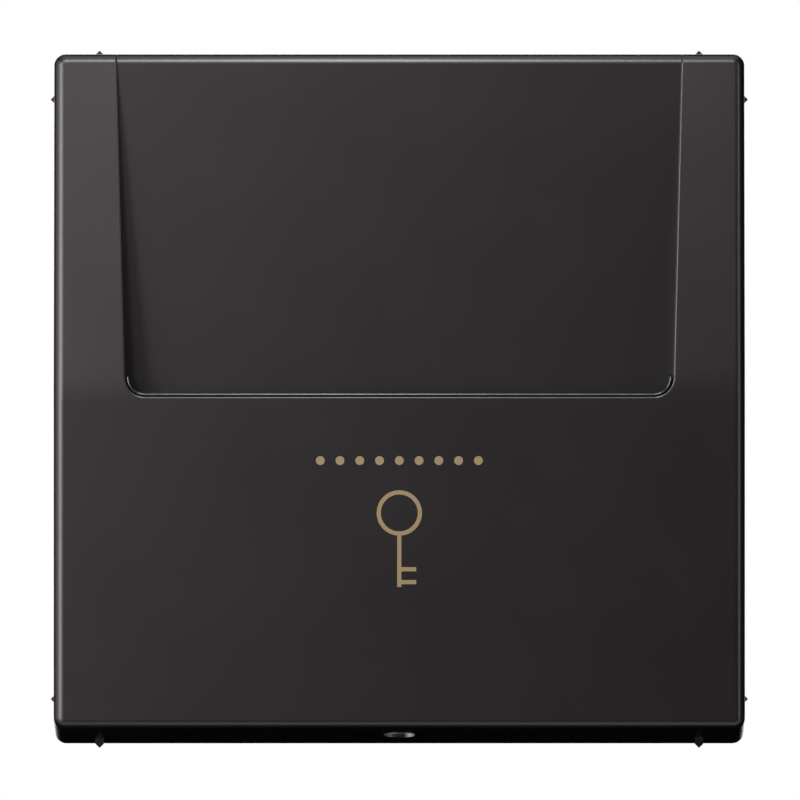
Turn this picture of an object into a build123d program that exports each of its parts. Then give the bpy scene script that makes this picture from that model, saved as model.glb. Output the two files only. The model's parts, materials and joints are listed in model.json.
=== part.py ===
from build123d import *
import math
import os

# Hotel key card switch, a flush insert with a 70 mm square cover.
# X is to the right, Y goes into the wall and Z is up, all in millimetres.
# The origin is the middle of the support frame's back face, on the wall.
# "Left" and "right" are as seen from the front.

# Switch insert, the part that goes into the wall box
socket_size = 41.0  # width and height
socket_wall = 1.8
socket_floor = 2.0
socket_chamfer = 5.0
socket_cover_thickness = 1.5
socket_boss_radius = 2.3
socket_boss_inset = 5.0  # from the outer face
chamber_wall = 1.1
chamber_half_height = 7.0
chamber_gap = 0.05  # contact strip to the chamber's cross walls
chamber_depth = 10.4
spring_tube_wall = 0.9
spring_tube_length = 5.0
nose_depth = 1.1
nose_fit = 0.25
nose_slope_share = 0.8  # of the nose's depth
relief_depth_share = 0.33  # of the mechanism cover's thickness

# Support frame
frame_thickness = 1.5
frame_rim = 11.9  # from the opening to the outer edge
frame_corner_cut = 3.0
box_screw_inset = 4.0  # from the frame's outer edge
box_slot_radius = 1.8
box_slot_length = 6.0
lug_half_width = 6.0
lug_length = 9.0
lug_fit = 0.1
lug_window_half = 3.0
lug_window_low = 4.0  # behind the wall plane
lug_window_high = 7.0
frame_hole_radius = 1.6
frame_hole_inset = 5.4  # from the frame's outer edge

# Mounting carrier
carrier_plate = 1.8
carrier_gap = 0.8  # to the cover's side walls
carrier_window_gap = 1.0  # to the switch insert
carrier_rim = 1.2
carrier_rim_depth = 1.9
carrier_relief_depth = 2.3
carrier_relief_half = 4.6
carrier_screw_inset = 4.4  # from the frame's opening
snap_fit = 0.1

# Cover
frame_inset = 1.0  # from the cover's edge to the frame's edge
cover_gap = 2.0  # wall plane to the cover's rear edge
cover_wall = 1.6
panel_wall = 1.8  # lower panel, which carries the screw bosses
bottom_slant = 1.7  # how far the lower panel stops short of the rear edge
crease_z = 1.45  # height where the wings bend back from the lower panel
crease_radius = 25.0
corner_radius = 1.15
rim_radius = 1.0
recess_floor_wall = 1.2
recess_taper = 0.925  # on each side, from the top edge to the mouth
wing_width = 6.4  # beside the recess, at the top edge
wing_wall = 1.4
mouth_z = 0.3  # top of the lip of the lower panel
mouth_corner_radius = 2.0
mouth_edge_radius = 0.22
boss_radius = 2.0
boss_inset = 3.9  # from the cover's side
boss_high_z = -4.0
boss_low_inset = 8.0  # from the cover's lower edge
rib_inset = 4.55  # ribs on the four edges, from the cover's corners
rib_height = 0.43
rib_length = 3.0
snap_groove_depth = 0.45
snap_z = 20.0
snap_length = 8.0
snap_width = 1.0
snap_y_share = 0.2  # of the cover's depth, from its rear edge

# Card guide, for a card 54 mm wide and 0.8 mm thick
card_channel_gap = 1.6
guide_side_gap = 0.1  # channel's side to the mouth's side
guide_front_wall = 0.85
guide_wall = 1.3
guide_rim_rise = 0.25  # rim above the cover's lip
guide_corner_radius = 1.75
guide_rim_edge = 0.14
guide_pocket_inset = 7.0  # floor of the pocket, from the cover's lower edge
guide_floor = 1.2
guide_fit = 0.15  # guide to cover
ear_thickness = 1.2
ear_half_height = 2.3
rail_thickness = 1.2
rail_lip = 1.1
rail_lip_thickness = 0.8
rail_top_z = -0.6

# Card slider and its springs
slider_travel = 4.0
slider_fit = 0.15
slider_half_width = 14.0
slider_plate = 1.4
slider_room = 1.45  # slider's back to the light pipe
slider_top_z = 7.4
tongue_rise = 10.0  # above the floor of the pocket
tongue_height = 2.0
tongue_half_width = 12.0
slider_tail = 1.0
slider_window_half_width = 6.0  # opening that saves weight
slider_window_height = 9.0
spring_x = 10.0
spring_tab_half = 1.7
spring_tab_height = 1.2
slider_spring_radius = 1.3
slider_spring_wire = 0.36
slider_spring_turns = 8
slider_spring_room = 14.0  # free length between its seats
spring_pin_radius = 0.7
spring_pin_length = 2.4

# Card grip springs
grip_x = 18.0
grip_half_width = 2.5
grip_thickness = 0.25
grip_bow = 0.62
grip_length = 14.0
grip_foot = 2.0
grip_top_z = -2.5

# Light pipe
lens_radius = 1.575
lens_fit = 0.05
lens_proud = 0.06
lens_place_share = 0.43  # of the cover's depth, from the lower panel
pipe_half_width = 2.0
pipe_thickness = 2.0
pipe_turn = 1.6  # slanted corner that turns the light
pipe_over_lamp = 2.1  # pipe's top above the lamp's middle
pipe_foot_height = 2.0
pipe_foot_gap = 0.2  # guide to the pipe's foot
pipe_clip_wall = 1.1

# Plunger and moving contact
plunger_travel = 1.4
plunger_half_width = 4.0
plunger_half_height = 2.5
plunger_fit = 0.15
wedge_lift = 0.2
wedge_half_width = 4.0
flange_thickness = 1.2
flange_overlap = 1.5
stem_half_width = 2.6
stem_half_height = 3.5
stem_length = 9.0
stem_pin_radius = 1.9
stem_pin_length = 2.0
bridge_end = 2.0  # past the middle of its contacts
bridge_half_height = 2.0
bridge_thickness = 0.8
bridge_y = 5.6
bridge_window_length = 4.4
bridge_fit = 0.15
contact_inset = 1.8  # from the contact strip's inner end
contact_radius = 1.5
contact_thickness = 0.8
contact_edge = 0.27
contact_gap_left = 0.05  # left open at the end of the travel, so that nothing overlaps
overtravel_radius = 1.3
overtravel_wire = 0.35
overtravel_turns = 3
plunger_spring_radius = 2.9
plunger_spring_wire = 0.6
plunger_spring_turns = 5

# Terminals
fixed_rivet_thickness = 0.6
fixed_rivet_edge = 0.2
strip_thickness = 0.8
strip_half_height = 2.4
strip_outer_gap = 2.3  # strip's leg to the housing's side wall
strip_chamber_width = 5.8  # strip's leg to the chamber's inner wall
strip_reach = 3.4  # past the chamber's inner wall
strip_leg_half_height = 6.4
strip_leg_length = 9.6
wire_entry_offset = 1.5  # from the strip's leg
wire_entry_z = 4.35
wire_entry_radius = 1.45
clamp_half_height = 6.0
clamp_thickness = 0.4
clamp_gap = 0.3  # to the chamber's inner wall
clamp_width = 2.0
clamp_bend_inset = 4.1  # from the housing's floor
clamp_reach = 3.8
clamp_foot_length = 5.2
button_half_x = 1.8
button_half_z = 2.0
button_offset = 2.2  # from the strip's leg
button_proud = 1.2
button_length = 4.7
button_nose_gap = 0.2
button_fit = 0.1
button_flange = 0.45
button_flange_thickness = 1.0
button_slot_half = 0.5
button_slot_depth = 0.4

# Spreading claws
claw_pivot_gap = 1.3  # from the housing's side
claw_pivot_y = 2.4
claw_half_height = 6.0
claw_thickness = 1.0
claw_length = 16.8
claw_foot = 3.7
claw_slot_half = 2.3
claw_slot_start = 0.9
claw_bridge = 2.0
claw_teeth = 4
claw_tooth = 1.0
trunnion_radius = 0.8
trunnion_length = 1.4
trunnion_fit = 0.06
claw_side_gap = 0.25
claw_ear_thickness = 1.5
claw_screw_offset = 2.8  # from the claw's pivot
claw_screw_radius = 1.75
claw_screw_hole_radius = 1.9
claw_screw_head_radius = 2.7
claw_screw_head_height = 1.7
claw_screw_end_y = 15.5

# Locating lamp
lamp_inset = 6.5  # from the housing's lower side
lamp_radius = 1.9
lamp_tip_radius = 1.52
lamp_length = 6.6
lamp_gap = 0.25
lamp_fit = 0.12
lamp_holder_wall = 1.3
lamp_holder_depth = 4.6
lamp_wire_radius = 0.35
lamp_wire_bend_radius = 0.7
lamp_wire_place = 0.8

# Small screws: shank radius, head radius, head height, thread length
guide_screw = (0.75, 1.7, 1.0, 4.2)
carrier_screw = (1.1, 2.1, 1.1, 3.2)
mechanism_screw = (0.9, 1.8, 1.0, 8.0)
pilot_fit = 0.04
pilot_spare = 0.5
hole_fit = 0.25
forward_share = 0.9  # of the normal of a face that counts as facing forwards
drive_width_share = 0.28  # of the head's radius
drive_depth_share = 0.55  # of the head's height
drive_reach_share = 0.64  # of the head's radius

edge_break = 0.3
small_break = 0.15
rest_gap = 0.1  # between pieces that lie on each other loosely
overrun = 1.0  # how far a cut runs past a face

# Places across, from the switch insert outwards
socket_half = socket_size / 2
socket_inside = socket_half - socket_wall
boss_place = socket_half - socket_boss_inset
frame_opening = socket_half + lug_fit + frame_thickness
frame_half = frame_opening + frame_rim
box_screw_place = frame_half - box_screw_inset
frame_hole_place = frame_half - frame_hole_inset
carrier_screw_place = frame_opening + carrier_screw_inset
half = frame_half + frame_inset  # half of the cover's width and height
cover_inside = half - cover_wall
carrier_half = cover_inside - carrier_gap
carrier_window_half = socket_half + carrier_window_gap
recess_top_half = half - wing_width
recess_mouth_half = recess_top_half - recess_taper
channel_half = recess_mouth_half - guide_side_gap
boss_x = half - boss_inset
boss_zs = (boss_high_z, boss_low_inset - half)
rib_offset = half - rib_inset
guide_depth_z = guide_pocket_inset - half
guide_bottom = guide_depth_z - guide_floor
tongue_top_z = guide_depth_z + tongue_rise
tongue_low_z = tongue_top_z - tongue_height
lamp_z = lamp_inset - socket_half
pipe_top_z = lamp_z + pipe_over_lamp
strip_outer_x = socket_inside - strip_outer_gap
chamber_inner_x = strip_outer_x - strip_chamber_width
strip_inner_x = chamber_inner_x - strip_reach
contact_place = strip_inner_x + contact_inset
bridge_half_length = contact_place + bridge_end
wire_entry_x = strip_outer_x - wire_entry_offset
clamp_inner_x = chamber_inner_x + chamber_wall + clamp_gap
button_x = strip_outer_x - button_offset
claw_pivot_x = socket_half + claw_pivot_gap
claw_screw_x = claw_pivot_x + claw_screw_offset

# Planes along Y, from the wall forwards
frame_front = -frame_thickness
socket_cover_front = frame_front - socket_cover_thickness
carrier_front = frame_front - carrier_plate
carrier_rim_front = carrier_front - carrier_rim_depth
pipe_back = carrier_front - rest_gap
pipe_front = pipe_back - pipe_thickness
slider_back = pipe_front - slider_room
slider_front = slider_back - slider_plate
floor_back = slider_front - slider_fit
recess_floor = floor_back - recess_floor_wall
channel_front = recess_floor - card_channel_gap
guide_front = channel_front - guide_front_wall
panel_back = guide_front - guide_fit
panel_front = panel_back - panel_wall
cover_back = -cover_gap
cover_depth = cover_back - panel_front
recess_depth = recess_floor - panel_front
ear_back = floor_back + ear_thickness
slider_spring_y = slider_back + slider_spring_radius + slider_spring_wire
lens_y = panel_front + lens_place_share * cover_depth
snap_y = cover_back - snap_y_share * cover_depth

# Planes along Y, from the wall into the box
slope = plunger_travel / slider_travel
wedge_low_y = slider_back + wedge_lift
wedge_top_z = plunger_half_height + slider_travel
flange_front = frame_front + rest_gap
stem_end = flange_front + stem_length
bridge_back = bridge_y + bridge_thickness
rivet_front = bridge_back + contact_thickness + plunger_travel + contact_gap_left
strip_front = rivet_front + fixed_rivet_thickness
strip_back = strip_front + strip_thickness
chamber_front = strip_back + chamber_gap
socket_floor_y = chamber_front + chamber_depth
socket_back = socket_floor_y + socket_floor
clamp_bend_y = socket_floor_y - clamp_bend_inset
lamp_front = pipe_back + lamp_gap
lamp_back = lamp_front + lamp_length


# Helpers
def block(x_low, x_high, y_low, y_high, z_low, z_high):
    middle = Pos((x_low + x_high) / 2, (y_low + y_high) / 2, (z_low + z_high) / 2)
    return middle * Box(x_high - x_low, y_high - y_low, z_high - z_low)


def rod_y(radius, x, z, y_low, y_high):
    return Pos(x, (y_low + y_high) / 2, z) * Rot(90, 0, 0) * Cylinder(radius, y_high - y_low)


def rod_z(radius, x, y, z_low, z_high):
    return Pos(x, y, (z_low + z_high) / 2) * Cylinder(radius, z_high - z_low)


def prism_x(points, x_low, x_high):
    corners = [(x_low, y, z) for y, z in points]
    return extrude(make_face(Polyline(*corners, close=True)), amount=x_high - x_low, dir=(1, 0, 0))


def prism_y(points, y_low, y_high):
    corners = [(x, y_low, z) for x, z in points]
    return extrude(make_face(Polyline(*corners, close=True)), amount=y_high - y_low, dir=(0, 1, 0))


def mirrored(shape):
    return mirror(shape, about=Plane.YZ)


def span(side, near, far):
    # Two places on one side of the middle plane, the lower one first.
    return sorted((side * near, side * far))


def edges_at(shape, *points):
    picked = []
    for point in points:
        picked.append(min(shape.edges(), key=lambda edge: edge.distance_to(Vertex(*point))))
    return picked


def chamfered_square(half_size, cut, y_low, y_high):
    inner = half_size - cut
    points = []
    for x_sign, z_sign, flip in ((1, 1, 0), (-1, 1, 1), (-1, -1, 0), (1, -1, 1)):
        ends = [(x_sign * half_size, z_sign * inner), (x_sign * inner, z_sign * half_size)]
        points += ends[::-1] if flip else ends
    return prism_y(points, y_low, y_high)


def screw(size, x, z, seat_y, direction):
    shank, head, height, length = size
    head_end = seat_y - direction * height
    shank_end = seat_y + direction * length
    body = rod_y(head, x, z, *sorted((seat_y, head_end)))
    body += rod_y(shank, x, z, *sorted((seat_y, shank_end)))
    outer = [edge for edge in body.edges() if abs(edge.center().Y - head_end) < height / 2]
    body = chamfer(outer, height * drive_width_share)
    slot = head * drive_width_share / 2
    reach = head * drive_reach_share
    floor_y = head_end + direction * height * drive_depth_share
    low, high = sorted((floor_y, head_end - direction * overrun))
    cross = block(x - reach, x + reach, low, high, z - slot, z + slot)
    cross += block(x - slot, x + slot, low, high, z - reach, z + reach)
    return body - cross


def coil_spring(radius, wire, turns, length):
    # One wire on quarter turn biarcs along Z, from zero to length, its end turns lying flat.
    steps = turns * 4
    pitch = (length - wire) / turns

    def place(step):
        angle = step * math.pi / 2
        return Vector(radius * math.cos(angle), radius * math.sin(angle), wire / 2 + pitch * step / 4)

    def heading(step):
        angle = step * math.pi / 2
        rise = pitch / (2 * math.pi)
        return Vector(-radius * math.sin(angle), radius * math.cos(angle), rise).normalized()

    edges = []
    for step in range(steps):
        start, end = place(step), place(step + 1)
        leave, arrive = heading(step), heading(step + 1)
        chord = end - start
        both = leave + arrive
        turn = 2 * (1 - leave.dot(arrive))
        along = chord.dot(both)
        reach = (math.sqrt(along * along + turn * chord.dot(chord)) - along) / turn
        join = (start + leave * reach + end - arrive * reach) * 0.5
        edges.append(TangentArc(start, join, tangent=leave))
        across = (end - arrive * reach) - (start + leave * reach)
        edges.append(TangentArc(join, end, tangent=across.normalized()))
    path = Wire(edges)
    ring = Plane(origin=place(0), z_dir=heading(0)) * Circle(wire / 2)
    print("spring", round(radius, 2), "gap between turns", round(pitch - wire, 2))
    return sweep(ring, path=path)


def spring_y(radius, wire, turns, x, z, y_low, y_high):
    return Pos(x, y_low, z) * Rot(-90, 0, 0) * coil_spring(radius, wire, turns, y_high - y_low)


# Cover
def front_y(z):
    if z < crease_z:
        return panel_front
    return panel_front + recess_depth * (z - crease_z) / (half - crease_z)


def bottom_z(y):
    return -half + bottom_slant * (cover_back - y) / cover_depth


def recess_outline(low_z, high_z, side=0):
    # The half widths follow the taper from the mouth to the top edge.
    taper = recess_taper / (half - mouth_z)
    low_x = recess_mouth_half + taper * (low_z - mouth_z) + side
    high_x = recess_mouth_half + taper * (high_z - mouth_z) + side
    return [(-low_x, low_z), (low_x, low_z), (high_x, high_z), (-high_x, high_z)]


def cover_shell():
    outline = [
        (cover_back, -half),
        (cover_back, half),
        (recess_floor, half),
        (panel_front, crease_z),
        (panel_front, -half + bottom_slant),
    ]
    shell = prism_x(outline, -half, half)
    shell = fillet(edges_at(shell, (0, panel_front, crease_z)), crease_radius)
    middle_y = (cover_back + recess_floor) / 2
    corners = [(side * half, middle_y, end) for side in (-1, 1) for end in (half, bottom_z(middle_y))]
    shell = fillet(edges_at(shell, *corners), corner_radius)
    front = [face for face in shell.faces() if face.normal_at(face.center()).Y < -forward_share]
    edges = [edge for face in front for edge in face.edges()]
    rim = [edge for edge in edges if sum(edge.is_same(other) for other in edges) == 1]
    return fillet(rim, rim_radius)


def cover_cavity():
    # The hollow behind the front, with the recess and its walls left standing.
    wing_shift = cover_wall * math.hypot(1, recess_depth / (half - crease_z))
    base_shift = cover_wall * math.hypot(1, bottom_slant / cover_depth)
    inside = cover_inside
    bend_z = crease_z + (panel_wall - wing_shift) * (half - crease_z) / recess_depth
    outline = [
        (cover_back + overrun, bottom_z(cover_back + overrun) + base_shift),
        (cover_back + overrun, inside),
        (front_y(inside) + wing_shift, inside),
        (panel_back, bend_z),
        (panel_back, bottom_z(panel_back) + base_shift),
    ]
    hollow = prism_x(outline, -inside, inside)
    keep = prism_y(recess_outline(mouth_z, half + overrun, wing_wall), panel_front, floor_back)
    return hollow - keep


def recess_prism(y_low, y_high):
    outline = recess_outline(mouth_z, half + overrun)
    cut = prism_y(outline, y_low, y_high)
    corners = [(x, (y_low + y_high) / 2, z) for x, z in outline if z == mouth_z]
    return fillet(edges_at(cut, *corners), mouth_corner_radius)


def recess_plate():
    # The recess's floor, with the same round at the top edge as the wings.
    outline = recess_outline(mouth_z, half, mouth_edge_radius)
    plate = prism_y(outline, recess_floor, floor_back)
    return fillet(edges_at(plate, (0, recess_floor, half)), rim_radius)


def recessed_shell():
    # The recess is cut too deep, its edges are rounded, and its floor is put back.
    shell = cover_shell()
    open_shell = shell - recess_prism(panel_front - overrun, floor_back)
    open_shell = fillet(edges_at(open_shell, (0, panel_front, mouth_z)), mouth_edge_radius)
    return open_shell + recess_plate()


def cover_ribs():
    # Small pointed ribs that centre the cover, two on each edge.
    rib = [
        (-rib_height, half - edge_break),
        (rib_height, half - edge_break),
        (rib_height, half),
        (0, half + rib_height),
        (-rib_height, half),
    ]
    deep = half - cover_wall / 2
    ribs = []
    for side in (-1, 1):
        shifted = [(x + side * rib_offset, z) for x, z in rib]
        ribs.append(prism_y(shifted, cover_back - rib_length, cover_back))
        below = [(x, -z) if z > half - small_break else (x, -deep) for x, z in shifted]
        ribs.append(prism_y(below, cover_back - rib_length, cover_back))
        for edge in (-1, 1):
            turned = [(edge * z, x) for x, z in shifted]
            ribs.append(prism_y(turned, cover_back - rib_length, cover_back))
    return ribs


def make_front_cover():
    cover = recessed_shell() - cover_cavity()
    # The mouth opens behind the lip, and the guide's raised corners pass beside it.
    outer = recess_mouth_half + wing_wall + edge_break
    corner_x = recess_mouth_half - mouth_corner_radius - small_break
    rise = mouth_z + mouth_corner_radius + guide_fit
    for side in (-1, 1):
        near, far = span(side, channel_half - small_break, outer)
        cover -= block(near, far, panel_back, floor_back + small_break, -edge_break, rise)
        near, far = span(side, corner_x, outer)
        cover -= block(near, far, panel_back, recess_floor, -edge_break, rise)
        # Bosses for the screws that hold the card guide.
        for z in boss_zs:
            cover += rod_y(boss_radius, side * boss_x, z, panel_back - small_break, floor_back)
            pilot_end = ear_back - guide_screw[3] - pilot_spare
            pilot = rod_y(guide_screw[0] + pilot_fit, side * boss_x, z, pilot_end, floor_back + overrun)
            cover -= pilot
        # Grooves in which the carrier's snaps rest.
        near, far = span(side, cover_inside - overrun, cover_inside + snap_groove_depth)
        width = snap_width / 2 + snap_fit
        reach = snap_length / 2 + snap_fit
        for z in (-snap_z, snap_z):
            cover -= block(near, far, snap_y - width, snap_y + width, z - reach, z + reach)
    cover -= rod_z(lens_radius + lens_fit, 0, lens_y, -half, cover_wall + bottom_slant * 2 - half)
    for rib in cover_ribs():
        cover += rib
    return cover


# Card guide
def mouth_outline(low_z, high_z, y_low, y_high):
    shape = block(-channel_half, channel_half, y_low, y_high, low_z, high_z)
    corners = [(side * channel_half, (y_low + y_high) / 2, low_z) for side in (-1, 1)]
    return fillet(edges_at(shape, *corners), guide_corner_radius)


def guide_rail(side):
    # A rail beside the slider, its lip, and the spring's seat with its pin.
    rail_low = slider_half_width + slider_fit
    rail_high = rail_low + rail_thickness
    lip_front = slider_back + slider_fit
    lip_back = lip_front + rail_lip_thickness
    near, far = span(side, rail_low, rail_high)
    rail = block(near, far, floor_back, lip_back, guide_depth_z, rail_top_z)
    near, far = span(side, rail_low - rail_lip, rail_high)
    rail += block(near, far, lip_front, lip_back, guide_depth_z, rail_top_z)
    seat_back = slider_back + slider_spring_radius * 2 + slider_spring_wire
    near, far = span(side, spring_x - spring_tab_half, spring_x + spring_tab_half)
    rail += block(near, far, floor_back, seat_back, guide_bottom, guide_depth_z)
    pin_top = guide_depth_z + spring_pin_length
    return rail + rod_z(spring_pin_radius, side * spring_x, slider_spring_y, guide_depth_z, pin_top)


def guide_ear(side, z, outer):
    end = boss_x + boss_radius
    near, far = span(side, outer - guide_wall * 2, end)
    ear = block(near, far, floor_back, ear_back, z - ear_half_height, z + ear_half_height)
    middle = (floor_back + ear_back) / 2
    corners = [(side * end, middle, z + way * ear_half_height) for way in (-1, 1)]
    ear = fillet(edges_at(ear, *corners), boss_radius / 2)
    hole = rod_y(guide_screw[0] + hole_fit, side * boss_x, z, floor_back - overrun, ear_back + overrun)
    return ear - hole


def make_card_guide():
    outer = channel_half + guide_wall
    rim_z = mouth_z + guide_rim_rise
    corner_z = rim_z + guide_corner_radius
    past_z = corner_z + overrun
    floor_z = mouth_z - guide_fit
    guide = block(-outer, outer, guide_front, floor_back, guide_bottom, corner_z)
    guide -= block(-channel_half, channel_half, channel_front, recess_floor, guide_depth_z, past_z)
    guide -= mouth_outline(rim_z, past_z, guide_front - overrun, recess_floor)
    guide -= block(-channel_half, channel_half, channel_front, floor_back + overrun, floor_z, past_z)
    guide = fillet(edges_at(guide, (0, guide_front, rim_z)), guide_rim_edge)
    # Lead in for the card behind the mouth.
    guide = chamfer(edges_at(guide, (0, recess_floor, floor_z)), edge_break)
    # Window in which the slider's tongue travels.
    window = tongue_half_width + guide_fit * 2
    window_top = tongue_top_z + rest_gap
    window_low = tongue_low_z - slider_travel - rest_gap
    window_front = recess_floor - small_break
    guide -= block(-window, window, window_front, floor_back + overrun, window_low, window_top)
    for side in (-1, 1):
        guide += guide_rail(side)
        for z in boss_zs:
            guide += guide_ear(side, z, outer)
        # Clip that carries the light pipe's foot.
        near = pipe_half_width + lens_fit
        near, far = span(side, near, near + pipe_clip_wall)
        clip_low = guide_bottom - pipe_foot_gap - pipe_foot_height / 2
        guide += block(near, far, recess_floor, ear_back, clip_low, guide_bottom)
        # Pocket for the grip spring.
        near, far = span(side, grip_x - grip_half_width - slider_fit, grip_x + grip_half_width + slider_fit)
        back, front = channel_front + small_break, channel_front - grip_thickness
        low, high = grip_top_z - grip_length - slider_fit, grip_top_z + slider_fit
        guide -= block(near, far, front, back, low, high)
    return guide


def make_guide_screws():
    screws = []
    for side in (-1, 1):
        for z in boss_zs:
            screws.append(screw(guide_screw, side * boss_x, z, ear_back, -1))
    return Compound(children=screws)


# Card slider
def make_card_slider():
    low_z = tongue_low_z - slider_tail
    wide = slider_half_width
    slider = block(-wide, wide, slider_front, slider_back, low_z, slider_top_z)
    tongue_front = channel_front + slider_fit
    wide = tongue_half_width
    tongue = block(-wide, wide, tongue_front, slider_front, tongue_low_z, tongue_top_z)
    slider += chamfer(edges_at(tongue, (0, tongue_front, tongue_top_z)), edge_break)
    # The wedge's slope turns the slider's way down into the plunger's way in.
    wedge_end = wedge_low_y + slope * (wedge_top_z + plunger_half_height)
    wedge = [
        (slider_back, -plunger_half_height - edge_break),
        (wedge_low_y, -plunger_half_height),
        (wedge_end, wedge_top_z),
        (slider_back, wedge_top_z + edge_break),
    ]
    slider += prism_x(wedge, -wedge_half_width, wedge_half_width)
    # Tabs with pins for the springs.
    tab_back = slider_back + slider_spring_radius * 2 + slider_spring_wire
    tab_low = guide_depth_z + slider_spring_room
    for side in (-1, 1):
        near, far = span(side, spring_x - spring_tab_half, spring_x + spring_tab_half)
        slider += block(near, far, slider_back, tab_back, tab_low, tab_low + spring_tab_height)
        pin_low = tab_low - spring_pin_length
        slider += rod_z(spring_pin_radius, side * spring_x, slider_spring_y, pin_low, tab_low)
    wide = slider_window_half_width
    window_top = -plunger_half_height - edge_break - slider_tail
    window_low = window_top - slider_window_height
    front, back = slider_front - overrun, slider_back + overrun
    slider -= block(-wide, wide, front, back, window_low, window_top)
    middle = (slider_front + slider_back) / 2
    top = [(side * slider_half_width, middle, slider_top_z) for side in (-1, 1)]
    return fillet(edges_at(slider, *top), boss_radius)


def make_slider_springs():
    coil = coil_spring(slider_spring_radius, slider_spring_wire, slider_spring_turns, slider_spring_room)
    places = [Pos(side * spring_x, slider_spring_y, guide_depth_z) for side in (-1, 1)]
    return Compound(children=[place * coil for place in places])


def make_card_grip_springs():
    # Leaves that bow into the channel between two flat feet.
    back = channel_front - grip_thickness
    low, high = grip_top_z - grip_length, grip_top_z
    low_foot, high_foot = low + grip_foot, high - grip_foot
    middle = (low + high) / 2
    outline = Line((0, back, low), (0, back, low_foot))
    outline += ThreePointArc((0, back, low_foot), (0, back + grip_bow, middle), (0, back, high_foot))
    outline += Polyline((0, back, high_foot), (0, back, high), (0, channel_front, high))
    outline += Line((0, channel_front, high), (0, channel_front, high_foot))
    inner = (0, channel_front + grip_bow, middle)
    outline += ThreePointArc((0, channel_front, high_foot), inner, (0, channel_front, low_foot))
    outline += Polyline((0, channel_front, low_foot), (0, channel_front, low), (0, back, low))
    leaf = extrude(make_face(outline), amount=grip_half_width * 2, dir=(1, 0, 0))
    places = [Pos(side * grip_x - grip_half_width, 0, 0) for side in (-1, 1)]
    return Compound(children=[place * leaf for place in places])


# Light pipe
def make_light_pipe():
    wide = pipe_half_width
    foot_top = guide_bottom - pipe_foot_gap
    foot_low = foot_top - pipe_foot_height
    pipe = block(-wide, wide, pipe_front, pipe_back, foot_low, pipe_top_z)
    pipe += block(-wide, wide, lens_y - lens_radius, pipe_front, foot_low, foot_top)
    # The outer corner is cut at 45 degrees to turn the light forward.
    pipe = chamfer(edges_at(pipe, (0, pipe_back, foot_low)), pipe_turn)
    # The lens ends just below the cover's slanted underside.
    low_z = -half - overrun
    lens = rod_z(lens_radius, 0, lens_y, low_z, foot_top - pipe_foot_height / 2)
    past = [
        (cover_back, bottom_z(cover_back) - lens_proud),
        (panel_front, bottom_z(panel_front) - lens_proud),
        (panel_front, low_z - overrun),
        (cover_back, low_z - overrun),
    ]
    return pipe + (lens - prism_x(past, -lens_radius * 2, lens_radius * 2))


# Mounting carrier
def carrier_snap(side, z):
    tip = side * (cover_inside + snap_groove_depth - snap_fit)
    near, far = sorted((side * (carrier_half - small_break), tip))
    front, back = snap_y - snap_width / 2, snap_y + snap_width / 2
    bump = block(near, far, front, back, z - snap_length / 2, z + snap_length / 2)
    return chamfer(edges_at(bump, (tip, front, z), (tip, back, z)), edge_break)


def make_mounting_carrier():
    edge = carrier_half
    window = carrier_window_half
    carrier = block(-edge, edge, carrier_rim_front, frame_front, -edge, edge)
    inner = edge - carrier_rim
    carrier -= block(-inner, inner, carrier_rim_front - overrun, carrier_front, -inner, inner)
    carrier -= block(-window, window, carrier_front - overrun, frame_front + overrun, -window, window)
    middle = (carrier_rim_front + frame_front) / 2
    corners = [(x * edge, middle, z * edge) for x in (-1, 1) for z in (-1, 1)]
    carrier = fillet(edges_at(carrier, *corners), corner_radius)
    # Room for the box screws and the claw screws, under a bridge of the rim.
    relief_front = frame_front - carrier_relief_depth
    relief_back = frame_front + overrun
    reach = carrier_relief_half
    for side in (-1, 1):
        near, far = span(side, window - overrun, edge + overrun)
        carrier -= block(near, far, relief_front, relief_back, -reach, reach)
        near, far = span(side, box_screw_place - reach, edge + overrun)
        carrier -= block(-reach, reach, relief_front, relief_back, near, far)
    # The light pipe passes through the lower edge.
    gate = pipe_half_width + edge_break
    gate_low, gate_high = -edge - overrun, -inner + overrun
    carrier -= block(-gate, gate, carrier_rim_front - overrun, relief_front + overrun, gate_low, gate_high)
    for side in (-1, 1):
        for z in (-snap_z, snap_z):
            carrier += carrier_snap(side, z)
        place = side * carrier_screw_place
        hole_radius = carrier_screw[0] + hole_fit
        carrier -= rod_y(hole_radius, place, -place, carrier_front - overrun, frame_front + overrun)
    return carrier


def make_carrier_screws():
    places = [side * carrier_screw_place for side in (-1, 1)]
    return Compound(children=[screw(carrier_screw, place, -place, carrier_front, 1) for place in places])


# Support frame
def slot_cut(x, z, along_x):
    # A slot through the frame, with round ends.
    reach = box_slot_length / 2 - box_slot_radius
    front, back = frame_front - overrun, overrun
    wide, tall = (reach, box_slot_radius) if along_x else (box_slot_radius, reach)
    cut = block(x - wide, x + wide, front, back, z - tall, z + tall)
    for side in (-1, 1):
        end_x, end_z = (x + side * reach, z) if along_x else (x, z + side * reach)
        cut += rod_y(box_slot_radius, end_x, end_z, front, back)
    return cut


def frame_lug(side):
    # A lug that hooks the switch insert.
    near, far = span(side, frame_opening - frame_thickness, frame_opening)
    lug = block(-lug_half_width, lug_half_width, frame_front, lug_length, near, far)
    low, high = near - overrun, far + overrun
    return lug - block(-lug_window_half, lug_window_half, lug_window_low, lug_window_high, low, high)


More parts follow.
